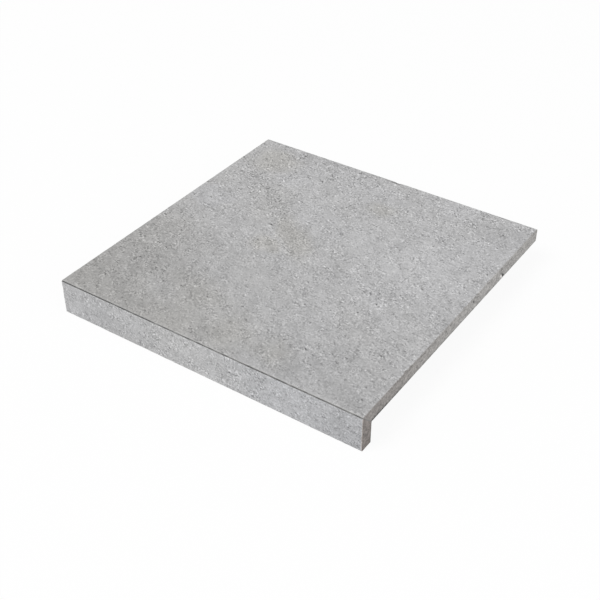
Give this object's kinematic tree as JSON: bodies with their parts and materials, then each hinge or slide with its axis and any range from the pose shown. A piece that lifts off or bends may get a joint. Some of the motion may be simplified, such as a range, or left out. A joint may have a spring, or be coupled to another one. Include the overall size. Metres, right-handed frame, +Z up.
{
  "type": "edge tile",
  "caption": "Square porcelain edge tile: a flat paving slab with a mitred drop strip bonded along its front, for finishing the edge of a step, terrace or pool.",
  "frame": {"origin": "under the middle of the tile, level with the foot of the drop strip", "axes": "+X along the front edge, +Y from the front face to the back edge, +Z up, out of the walking face"},
  "size_m": [0.45, 0.45, 0.05],
  "materials": {
    "porcelain": "matt, concrete-look printed face over a grey-brown body",
    "epoxy": "matt dark grey cured epoxy"
  },
  "bodies": {
    "root": {"top_slab": "porcelain", "front_strip": "porcelain", "mitre_glue": "epoxy"}
  },
  "joints": []
}
